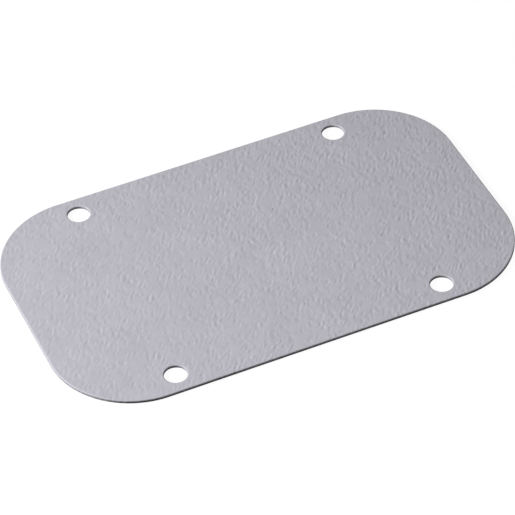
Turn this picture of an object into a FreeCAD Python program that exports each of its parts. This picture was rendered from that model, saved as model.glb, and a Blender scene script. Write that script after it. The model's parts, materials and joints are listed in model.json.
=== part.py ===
import FreeCAD, Part

import math
import os

# Cable entry plate, blank: one flat blanking of coated sheet steel that closes the
# cable opening of an enclosure. Screws hold it close to its long sides, and the
# field between them is left whole, to be punched or drilled for the cable glands.
#
# Sizes are in millimetres, over the coat. X runs along the plate, Y across it and
# Z up. The origin is the middle of the underside, which seats on the enclosure,
# and +Z points to the side that shows.

# Outline
PLATE_LENGTH = 140.0
PLATE_WIDTH = 85.0
CORNER_RADIUS = 25.0

# Section
PLATE_THICKNESS = 1.0

# Screw holes, with their centres placed from the plate's sides
HOLE_DIAMETER = 6.6
HOLE_FROM_LONG_SIDE = 6.5
HOLE_FROM_SHORT_SIDE = 29.5

# Rims: blanking and punching draw the upper rim over, and the coat rounds what is
# left of the burr on the lower rim
UPPER_RIM_RADIUS = 0.25
LOWER_RIM_RADIUS = 0.10

Z_AXIS = FreeCAD.Vector(0, 0, 1)
FLATNESS = 1e-6


def corner_arc(centre_x, centre_y, start_degrees):
    """One quarter turn of the outline about a corner's centre."""
    circle = Part.Circle(FreeCAD.Vector(centre_x, centre_y, 0), Z_AXIS, CORNER_RADIUS)
    start = math.radians(start_degrees)
    return circle.toShape(start, start + math.pi / 2)


def outline_wire():
    """The blanked outline at the underside: four straight sides between tangent corner arcs."""
    x = PLATE_LENGTH / 2 - CORNER_RADIUS
    y = PLATE_WIDTH / 2 - CORNER_RADIUS
    corners = [
        corner_arc(x, y, 0),
        corner_arc(-x, y, 90),
        corner_arc(-x, -y, 180),
        corner_arc(x, -y, 270),
    ]
    edges = []
    for arc, following in zip(corners, corners[1:] + corners[:1]):
        side = Part.makeLine(arc.lastVertex().Point, following.firstVertex().Point)
        edges += [arc, side]
    return Part.Wire(edges)


def hole_wires():
    """The rims of the screw holes at the underside, mirrored about both centre lines."""
    x = PLATE_LENGTH / 2 - HOLE_FROM_SHORT_SIDE
    y = PLATE_WIDTH / 2 - HOLE_FROM_LONG_SIDE
    centres = [FreeCAD.Vector(sx * x, sy * y, 0) for sx in (-1, 1) for sy in (-1, 1)]
    return [Part.Wire(Part.makeCircle(HOLE_DIAMETER / 2, centre, Z_AXIS)) for centre in centres]


def rim_edges(solid, height):
    """The edges of the outline and of the holes that lie at this height."""
    return [
        edge
        for edge in solid.Edges
        if abs(edge.BoundBox.ZMin - height) < FLATNESS
        and abs(edge.BoundBox.ZMax - height) < FLATNESS
    ]


def build_plate():
    """The plate with its holes, as the press and the coat leave it."""
    flat = Part.makeFace([outline_wire()] + hole_wires(), "Part::FaceMakerBullseye")
    blank = flat.extrude(Z_AXIS * PLATE_THICKNESS)
    drawn = blank.makeFillet(UPPER_RIM_RADIUS, rim_edges(blank, PLATE_THICKNESS))
    coated = drawn.makeFillet(LOWER_RIM_RADIUS, rim_edges(drawn, 0.0))
    return coated.Solids[0]


def main():
    os.makedirs("parts", exist_ok=True)
    plate = build_plate()
    plate.exportStep("parts/cable_entry_plate.step")
    print("cable_entry_plate valid", plate.isValid(), "volume_mm3", round(plate.Volume, 1))


main()
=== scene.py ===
import json
import math

import bmesh
import bpy
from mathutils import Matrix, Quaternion, Vector, noise


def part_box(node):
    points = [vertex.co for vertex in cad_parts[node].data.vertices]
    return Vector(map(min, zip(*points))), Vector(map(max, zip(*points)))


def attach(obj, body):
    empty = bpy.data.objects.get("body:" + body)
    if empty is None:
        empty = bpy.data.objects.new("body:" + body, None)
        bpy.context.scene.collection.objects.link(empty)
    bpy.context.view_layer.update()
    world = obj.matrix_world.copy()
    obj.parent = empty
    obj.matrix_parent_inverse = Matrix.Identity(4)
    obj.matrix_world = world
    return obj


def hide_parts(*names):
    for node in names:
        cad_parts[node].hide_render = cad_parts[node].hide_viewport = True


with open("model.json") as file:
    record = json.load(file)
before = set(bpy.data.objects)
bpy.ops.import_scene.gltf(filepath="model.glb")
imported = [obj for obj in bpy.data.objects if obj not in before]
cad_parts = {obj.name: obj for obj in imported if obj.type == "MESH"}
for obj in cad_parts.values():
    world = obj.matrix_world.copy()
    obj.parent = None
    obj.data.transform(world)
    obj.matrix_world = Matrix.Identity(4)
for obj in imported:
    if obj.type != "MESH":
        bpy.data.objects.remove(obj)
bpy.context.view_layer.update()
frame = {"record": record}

# Cable entry plate: a flat blanking of sheet steel in a leather-grained powder coat,
# seen lying on a pale floor. Lengths are in metres and angles in degrees.
MM = 0.001
TINY = 0.001 * MM

# The blanking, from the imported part
LOW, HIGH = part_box("cable_entry_plate")
LENGTH, WIDTH = (HIGH - LOW).xy
UNDERSIDE, TOP = LOW.z, HIGH.z
CORNER_RADIUS = 25.0 * MM
UPPER_RIM = 0.25 * MM
LOWER_RIM = 0.10 * MM

# The screw holes, from the part's bolt pattern
pattern = next(m for m in frame["record"]["mounts"] if m["kind"] == "bolt_pattern")["dims"]
HOLE_RADIUS = pattern["hole_r_mm"] * MM
HOLE_CENTRES = [
    Vector((sx * pattern["spacing_x_mm"] * MM / 2, sy * pattern["spacing_y_mm"] * MM / 2, 0))
    for sx in (-1, 1)
    for sy in (-1, 1)
]

# The mesh: a net of even squares on the coated face, trimmed to the rims. A strip between
# net and rim lies within reach of its own rim, and of no other. The outline's sides are cut
# into steps of the net by and by, into no more than so many parts at a time.
NET_STEP = 0.36 * MM
STRIP_REACH = 4 * NET_STEP
RIM_STEPS = 4
LOWER_RIM_STEPS = 2
MOST_PARTS = 4

# The coat's grain: how far it stands over the mean level of the face, how far its furrows
# reach below that, and how it runs
GRAIN_HEIGHT = 0.047 * MM
FURROW_DEPTH = 0.087 * MM
FACE = TOP - GRAIN_HEIGHT
GRAIN_PITCH = 0.64 * MM
GRAIN_OCTAVES = 1
GRAIN_STRETCH = 2.9
GRAIN_TURN = -38
GRAIN_FLANKS = (0.38, 0.62)
GRAIN_FADE = 0.7 * MM

# The patches that the grain comes in, and the thinner coat towards the left end
PATCH_SIZE = 2.6 * MM
PATCH_MEAN = 0.70
PATCH_SWING = 2.0
PATCH_LEAST = 0.1
THIN_SPAN = (-LENGTH / 2, 40 * MM)
THIN_SHARE = 0.70

# The finest grain, which the material adds in patches of its own, most of it on the face
FINEST_HEIGHT = 0.185 * MM
FINEST_PITCH = 0.88 * MM
FINEST_OCTAVES = 0.5
FINEST_PATCHES = (0.44, 0.64)
FINEST_SPAN = (0.70 * MM, 0.90 * MM)
FINEST_LOW_SHARE = 0.5

# The large grain of the walls and the underside, which have no relief in the mesh
PLAIN_PITCH = 1.1 * MM
PLAIN_SPAN = (0.70 * MM, 0.84 * MM)

# The coat's colour: clouds of two sizes and painted shade in the furrows, as shares between two tones
DARK_TONE = (0.4285, 0.4200, 0.4640, 1)
LIGHT_TONE = (0.4785, 0.4700, 0.5160, 1)
CLOUD_SIZES = (18 * MM, 4 * MM)
CLOUD_SHARES = (-0.15, 0.15)
# Painted shade: the band of heights over which the furrows are darkened, and how dark
FURROW_SHADE_SPAN = (TOP - 0.13 * MM, TOP - 0.03 * MM)
FURROW_SHADE_SHARES = (0.25, 0.55)

# Its sheen
SHEEN_SIZE = 2.5 * MM
ROUGHNESS = (0.50, 0.62)

# The band of heights in which handling rubs the rims, and what that does to them
RUB_STARTS = (0.66 * MM, 0.74 * MM)
RUB_ENDS = (0.80 * MM, 0.84 * MM)
RUB_SIZE = 3 * MM
RUB_PATCHES = (0.35, 0.65)
RUB_LEAST = 0.1
RUB_LIGHTER = 0.4
RUB_SMOOTHER = -0.12

# Where the values of a noise texture mostly lie
NOISE_SPAN = (0.3, 0.7)

# The floor and the room
FLOOR_SIZE = 8
FLOOR_GAP = 0.02 * MM
FLOOR_TONE = (0.10, 0.10, 0.10, 1)
FLOOR_GLOW = 0.92
ROOM_LIGHT = 0.004

# The photographer's viewpoint
VIEW_AIM = Vector((-1.600, -3.611, 1.0)) * MM
VIEW_AZIMUTH = -22.094
VIEW_ELEVATION = 43.234
VIEW_ROLL = -2.813
VIEW_DISTANCE = 0.86871
LENS_MM = 214.2
SENSOR_MM = 36.0


def begin_piece():
    """Leaves nothing selected, so that the next operator acts on its own piece alone."""
    bpy.ops.object.select_all(action="DESELECT")


def select_only(piece, kind, wanted):
    """Selects what passes the test among the piece's vertices, edges or faces in edit mode."""
    bpy.ops.mesh.select_mode(type=kind)
    bpy.ops.mesh.select_all(action="DESELECT")
    mesh = bmesh.from_edit_mesh(piece.data)
    for element in {"VERT": mesh.verts, "EDGE": mesh.edges, "FACE": mesh.faces}[kind]:
        if wanted(element):
            element.select_set(True)
    mesh.select_flush_mode()
    bmesh.update_edit_mesh(piece.data)


def lies_at(edge, height):
    """Whether both ends of the edge lie at this height."""
    return all(abs(vertex.co.z - height) < TINY for vertex in edge.verts)


def from_outline(place):
    """How far a place in plan lies inside the blanked outline."""
    reach_x = abs(place.x) - (LENGTH / 2 - CORNER_RADIUS)
    reach_y = abs(place.y) - (WIDTH / 2 - CORNER_RADIUS)
    if reach_x > 0 and reach_y > 0:
        return CORNER_RADIUS - math.hypot(reach_x, reach_y)
    return CORNER_RADIUS - max(reach_x, reach_y)


def from_hole(place, centre):
    """How far a place in plan lies outside one screw hole."""
    return math.hypot(place.x - centre.x, place.y - centre.y) - HOLE_RADIUS


def from_rims(place):
    """How far a place in plan lies from the nearest rim of the plate."""
    return min([from_outline(place)] + [from_hole(place, centre) for centre in HOLE_CENTRES])


def cut_side(piece, axis, length):
    """Cuts the straight sides of the outline that run along this axis into steps of the net."""
    while length > 2 * NET_STEP:
        select_only(
            piece,
            "EDGE",
            lambda e: abs(abs(e.verts[0].co[axis] - e.verts[1].co[axis]) - length) < TINY,
        )
        parts = min(round(length / NET_STEP), MOST_PARTS)
        bpy.ops.mesh.subdivide(number_cuts=parts - 1)
        length /= parts


def blanked_rim():
    """The outer wall of the blanking, with its rounded edges: open above and below."""
    begin_piece()
    bpy.ops.mesh.primitive_plane_add(size=1, location=(0, 0, UNDERSIDE))
    rim = bpy.context.object
    rim.scale = (LENGTH, WIDTH, 1)
    bpy.ops.object.transform_apply()
    bpy.ops.object.mode_set(mode="EDIT")
    arc_steps = round(CORNER_RADIUS * math.pi / 2 / NET_STEP)
    bpy.ops.mesh.bevel(offset=CORNER_RADIUS, segments=arc_steps, affect="VERTICES")
    bpy.ops.mesh.delete(type="ONLY_FACE")
    cut_side(rim, 0, LENGTH - 2 * CORNER_RADIUS)
    cut_side(rim, 1, WIDTH - 2 * CORNER_RADIUS)
    bpy.ops.mesh.select_all(action="SELECT")
    bpy.ops.mesh.edge_face_add()
    bpy.ops.mesh.extrude_region_move(TRANSFORM_OT_translate={"value": (0, 0, FACE - UNDERSIDE)})
    select_only(rim, "EDGE", lambda e: lies_at(e, FACE))
    bpy.ops.mesh.bevel(offset=UPPER_RIM, segments=RIM_STEPS, affect="EDGES")
    select_only(rim, "EDGE", lambda e: lies_at(e, UNDERSIDE))
    bpy.ops.mesh.bevel(offset=LOWER_RIM, segments=LOWER_RIM_STEPS, affect="EDGES")
    select_only(rim, "FACE", lambda f: len(f.verts) > 4)
    bpy.ops.mesh.delete(type="ONLY_FACE")
    bpy.ops.object.mode_set(mode="OBJECT")
    return rim


def rim_profile():
    """Radius and height of a screw hole's wall, step by step from its upper rim down."""
    steps = []
    for step in range(RIM_STEPS + 1):
        turn = math.pi / 2 * step / RIM_STEPS
        radius = HOLE_RADIUS + UPPER_RIM * (1 - math.sin(turn))
        steps.append((radius, FACE - UPPER_RIM * (1 - math.cos(turn))))
    for step in range(LOWER_RIM_STEPS + 1):
        turn = math.pi / 2 * step / LOWER_RIM_STEPS
        radius = HOLE_RADIUS + LOWER_RIM * (1 - math.cos(turn))
        steps.append((radius, UNDERSIDE + LOWER_RIM * (1 - math.sin(turn))))
    return steps


def hole_wall(centre):
    """The punched wall of one screw hole, with its rounded edges: open above and below."""
    begin_piece()
    steps = rim_profile()
    radius, height = steps[0]
    around = round(2 * math.pi * radius / NET_STEP)
    place = Vector((centre.x, centre.y, height))
    bpy.ops.mesh.primitive_circle_add(vertices=around, radius=radius, location=place)
    bpy.ops.object.transform_apply()
    wall = bpy.context.object
    bpy.ops.object.mode_set(mode="EDIT")
    for next_radius, next_height in steps[1:]:
        share = next_radius / radius
        drop = (0, 0, next_height - height)
        bpy.ops.mesh.extrude_region_move(TRANSFORM_OT_translate={"value": drop})
        radius, height = next_radius, next_height
        bpy.ops.transform.resize(value=(share, share, 1), center_override=(centre.x, centre.y, height))
    bpy.ops.object.mode_set(mode="OBJECT")
    return wall


def face_net():
    """The net of the coated face, trimmed half a square short of every rim."""
    begin_piece()
    bpy.ops.mesh.primitive_grid_add(
        x_subdivisions=round(LENGTH / NET_STEP),
        y_subdivisions=round(WIDTH / NET_STEP),
        size=LENGTH,
        location=(0, 0, FACE),
    )
    net = bpy.context.object
    net.scale = (1, WIDTH / LENGTH, 1)
    bpy.ops.object.transform_apply()
    bpy.ops.object.mode_set(mode="EDIT")
    trim = UPPER_RIM + NET_STEP / 2
    select_only(net, "VERT", lambda v: from_rims(v.co) < trim)
    bpy.ops.mesh.delete(type="VERT")
    bpy.ops.mesh.select_all(action="SELECT")
    bpy.ops.mesh.delete_loose()
    bpy.ops.object.mode_set(mode="OBJECT")
    return net


def close_between(piece, near):
    """Fills the strip between a rim and the trimmed net that ends beside it."""
    select_only(
        piece,
        "EDGE",
        lambda e: e.is_boundary and lies_at(e, FACE) and all(near(v.co) < STRIP_REACH for v in e.verts),
    )
    bpy.ops.mesh.fill()


def coated_plate():
    """The whole plate as one closed skin: rims, punched walls, coated face and underside."""
    shells = [blanked_rim(), face_net()] + [hole_wall(centre) for centre in HOLE_CENTRES]
    begin_piece()
    for shell in shells:
        shell.select_set(True)
    bpy.context.view_layer.objects.active = shells[0]
    bpy.ops.object.join()
    plate = shells[0]
    plate.name = plate.data.name = "coated_plate"
    bpy.ops.object.mode_set(mode="EDIT")
    close_between(plate, from_outline)
    for centre in HOLE_CENTRES:
        close_between(plate, lambda place: from_hole(place, centre))
    select_only(plate, "EDGE", lambda e: e.is_boundary and lies_at(e, UNDERSIDE))
    bpy.ops.mesh.mark_sharp()
    bpy.ops.mesh.fill()
    bpy.ops.mesh.select_all(action="SELECT")
    bpy.ops.mesh.normals_make_consistent(inside=False)
    bpy.ops.object.mode_set(mode="OBJECT")
    bpy.ops.object.shade_smooth()
    return plate


def within(value, span):
    """How far a value has come along a span, from 0 at its start to 1 at its end."""
    return min(max((value - span[0]) / (span[1] - span[0]), 0), 1)


def grain_share(place):
    """How much of the grain shows at a place: in patches, less on the left and none at the rims."""
    patch = PATCH_MEAN + PATCH_SWING * noise.noise(place / PATCH_SIZE)
    coated = THIN_SHARE + (1 - THIN_SHARE) * within(place.x, THIN_SPAN)
    fade = within(from_rims(place), (UPPER_RIM, UPPER_RIM + GRAIN_FADE))
    return min(max(patch, PATCH_LEAST), 1) * coated * fade * fade * (3 - 2 * fade)


def grain_pattern():
    """The coat's grain as a texture: flat tops and furrows with steep flanks between them."""
    grain = bpy.data.textures.new("grain", "CLOUDS")
    grain.noise_scale = GRAIN_PITCH
    grain.noise_depth = GRAIN_OCTAVES
    grain.use_color_ramp = True
    ramp = grain.color_ramp
    ramp.interpolation = "B_SPLINE"
    ramp.elements[0].position, ramp.elements[1].position = GRAIN_FLANKS
    ramp.elements[0].color, ramp.elements[1].color = (0, 0, 0, 1), (1, 1, 1, 1)
    return grain


def raise_grain(plate):
    """Raises the coat's grains and sinks its furrows, less and less towards the rims."""
    grained = plate.vertex_groups.new(name="grained_face")
    for vertex in plate.data.vertices:
        if vertex.co.z > FACE - TINY:
            grained.add([vertex.index], grain_share(vertex.co), "REPLACE")
    bpy.ops.object.empty_add(location=(0, 0, 0))
    stretch = bpy.context.object
    stretch.scale = (1, GRAIN_STRETCH, 1)
    stretch.rotation_euler.z = math.radians(GRAIN_TURN)
    bpy.context.view_layer.update()
    begin_piece()
    plate.select_set(True)
    bpy.context.view_layer.objects.active = plate
    raised = plate.modifiers.new("grain", "DISPLACE")
    raised.texture = grain_pattern()
    raised.texture_coords = "OBJECT"
    raised.texture_coords_object = stretch
    raised.direction = "Z"
    raised.vertex_group = grained.name
    raised.mid_level = FURROW_DEPTH / (GRAIN_HEIGHT + FURROW_DEPTH)
    raised.strength = GRAIN_HEIGHT + FURROW_DEPTH
    bpy.ops.object.modifier_apply(modifier=raised.name)
    bpy.data.objects.remove(stretch)


def add_node(material, kind, values, feeds):
    """Adds one node to a material, sets its values and joins the sockets that feed it."""
    node = material.node_tree.nodes.new(kind)
    for socket, value in values.items():
        node.inputs[socket].default_value = value
    for socket, source in feeds.items():
        material.node_tree.links.new(source, node.inputs[socket])
    return node


def lumps(material, place, size, detail):
    """Noise with lumps of about this size."""
    values = {"Scale": 1 / size, "Detail": detail}
    return add_node(material, "ShaderNodeTexNoise", values, {"Vector": place}).outputs["Fac"]


def spread(material, source, span, onto):
    """Eases a value's span onto another."""
    values = {"From Min": span[0], "From Max": span[1], "To Min": onto[0], "To Max": onto[1]}
    node = add_node(material, "ShaderNodeMapRange", values, {"Value": source})
    node.interpolation_type = "SMOOTHSTEP"
    return node.outputs["Result"]


def combine(material, operation, first, second):
    """Adds or multiplies a value and another value or number."""
    given = {1: second} if isinstance(second, float) else {}
    fed = {0: first} if given else {0: first, 1: second}
    node = add_node(material, "ShaderNodeMath", given, fed)
    node.operation = operation
    return node.outputs["Value"]


def rubbed_rims(coat, place, height):
    """Where handling rubs the rounded rims, here more and there less."""
    above = spread(coat, height, RUB_STARTS, (0, 1))
    below = spread(coat, height, RUB_ENDS, (1, 0))
    patchy = spread(coat, lumps(coat, place, RUB_SIZE, 2), RUB_PATCHES, (RUB_LEAST, 1))
    return combine(coat, "MULTIPLY", combine(coat, "MULTIPLY", above, below), patchy)


def coat_colour(coat, place, height, rubbed):
    """Clouds in the coat, painted shade that darkens the low furrows, and rims rubbed lighter."""
    tone = combine(coat, "MULTIPLY", rubbed, RUB_LIGHTER)
    # Painted shade: the lower a furrow of the grain lies, the darker the coat is made there
    tone = combine(coat, "ADD", tone, spread(coat, height, FURROW_SHADE_SPAN, FURROW_SHADE_SHARES))
    for size in CLOUD_SIZES:
        clouds = spread(coat, lumps(coat, place, size, 2), NOISE_SPAN, CLOUD_SHARES)
        tone = combine(coat, "ADD", tone, clouds)
    tones = add_node(coat, "ShaderNodeValToRGB", {}, {"Fac": tone})
    tones.color_ramp.elements[0].color = DARK_TONE
    tones.color_ramp.elements[1].color = LIGHT_TONE
    return tones.outputs["Color"]


def coat_sheen(coat, place, rubbed):
    """Satin, duller here and there, and smoother on the rubbed rims."""
    dull = spread(coat, lumps(coat, place, SHEEN_SIZE, 3), NOISE_SPAN, ROUGHNESS)
    return combine(coat, "ADD", dull, combine(coat, "MULTIPLY", rubbed, RUB_SMOOTHER))


def coat_relief(coat, place, along, height):
    """The finest grain in patches, and the large grain where the mesh is plain."""
    laid = {"Rotation": (0, 0, math.radians(GRAIN_TURN)), "Scale": (1, GRAIN_STRETCH, 1)}
    turned = add_node(coat, "ShaderNodeMapping", laid, {"Vector": place})
    turned.vector_type = "TEXTURE"
    run = turned.outputs["Vector"]

    patches = spread(coat, lumps(coat, place, PATCH_SIZE, 1), FINEST_PATCHES, (0, 1))
    faced = spread(coat, height, FINEST_SPAN, (FINEST_LOW_SHARE, 1))
    coated = spread(coat, along, THIN_SPAN, (THIN_SHARE, 1))
    shown = combine(coat, "MULTIPLY", combine(coat, "MULTIPLY", patches, faced), coated)
    fine = {"Height": lumps(coat, run, FINEST_PITCH, FINEST_OCTAVES), "Strength": shown}
    finest = add_node(coat, "ShaderNodeBump", {"Distance": FINEST_HEIGHT}, fine)

    plain = spread(coat, height, PLAIN_SPAN, (1, 0))
    large = spread(coat, lumps(coat, run, PLAIN_PITCH, 1), GRAIN_FLANKS, (0, 1))
    grain = {"Strength": plain, "Height": large, "Normal": finest.outputs["Normal"]}
    return add_node(coat, "ShaderNodeBump", {"Distance": GRAIN_HEIGHT}, grain).outputs["Normal"]


def coat_material():
    """The powder coat: light grey with a faint lilac cast, satin, clouded and grained."""
    coat = bpy.data.materials.new("textured_coat")
    coat.use_nodes = True
    shader = coat.node_tree.nodes["Principled BSDF"]
    join = coat.node_tree.links.new
    place = add_node(coat, "ShaderNodeTexCoord", {}, {}).outputs["Object"]
    split = add_node(coat, "ShaderNodeSeparateXYZ", {}, {"Vector": place})
    along, height = split.outputs["X"], split.outputs["Z"]
    rubbed = rubbed_rims(coat, place, height)
    join(coat_colour(coat, place, height, rubbed), shader.inputs["Base Color"])
    join(coat_sheen(coat, place, rubbed), shader.inputs["Roughness"])
    join(coat_relief(coat, place, along, height), shader.inputs["Normal"])
    return coat


def pale_floor():
    """A plain near-white floor that lights nothing, a hair under the plate."""
    begin_piece()
    bpy.ops.mesh.primitive_plane_add(size=FLOOR_SIZE, location=(0, 0, UNDERSIDE - FLOOR_GAP))
    floor = bpy.context.object
    floor.name = "floor"
    pale = bpy.data.materials.new("pale_floor")
    pale.use_nodes = True
    shader = pale.node_tree.nodes["Principled BSDF"]
    shader.inputs["Base Color"].default_value = FLOOR_TONE
    shader.inputs["Roughness"].default_value = 1.0
    shader.inputs["Specular IOR Level"].default_value = 0.0
    shader.inputs["Emission Color"].default_value = (1, 1, 1, 1)
    shader.inputs["Emission Strength"].default_value = FLOOR_GLOW
    floor.data.materials.append(pale)
    floor.visible_diffuse = False
    floor.visible_glossy = False


def towards(azimuth, elevation):
    """The direction of a bearing: its azimuth is counted from the front, its elevation from the floor."""
    turn, climb = math.radians(azimuth), math.radians(elevation)
    return Vector((math.sin(turn) * math.cos(climb), -math.cos(turn) * math.cos(climb), math.sin(climb)))


def stand(name, data, place, back, roll=0):
    """Stands a lamp or the camera at a place, with its back to this direction."""
    stood = bpy.data.objects.new(name, data)
    stood.location = place
    stood.rotation_mode = "QUATERNION"
    stood.rotation_quaternion = back.to_track_quat("Z", "Y") @ Quaternion((0, 0, 1), math.radians(roll))
    bpy.context.scene.collection.objects.link(stood)
    return stood


def soft_light(name, azimuth, elevation, distance, size, power):
    """A square lamp that looks at the plate from this bearing."""
    back = towards(azimuth, elevation)
    lamp = bpy.data.lights.new(name, "AREA")
    lamp.size = size
    lamp.energy = power
    stand(name, lamp, back * distance, back)


def studio():
    """A low soft lamp on the left and a little behind, a softbox overhead, and a dim room."""
    soft_light("key_lamp", azimuth=-109, elevation=25, distance=0.80, size=0.14, power=9.13)
    soft_light("softbox", azimuth=-5, elevation=69, distance=0.45, size=0.27, power=1.01)
    room = bpy.data.worlds.new("room")
    room.use_nodes = True
    room.node_tree.nodes["Background"].inputs["Color"].default_value = (1, 1, 1, 1)
    room.node_tree.nodes["Background"].inputs["Strength"].default_value = ROOM_LIGHT
    bpy.context.scene.world = room
    bpy.context.scene.view_settings.view_transform = "Standard"


def camera():
    """The camera, where the photographer stood."""
    back = towards(VIEW_AZIMUTH, VIEW_ELEVATION)
    lens = bpy.data.cameras.new("camera")
    lens.lens = LENS_MM
    lens.sensor_width = SENSOR_MM
    lens.clip_start = 0.01
    lens.clip_end = 50
    bpy.context.scene.camera = stand("camera", lens, VIEW_AIM + back * VIEW_DISTANCE, back, VIEW_ROLL)


plate = coated_plate()
raise_grain(plate)
plate.data.materials.append(coat_material())
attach(plate, "root")
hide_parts("cable_entry_plate")

pale_floor()
studio()
camera()
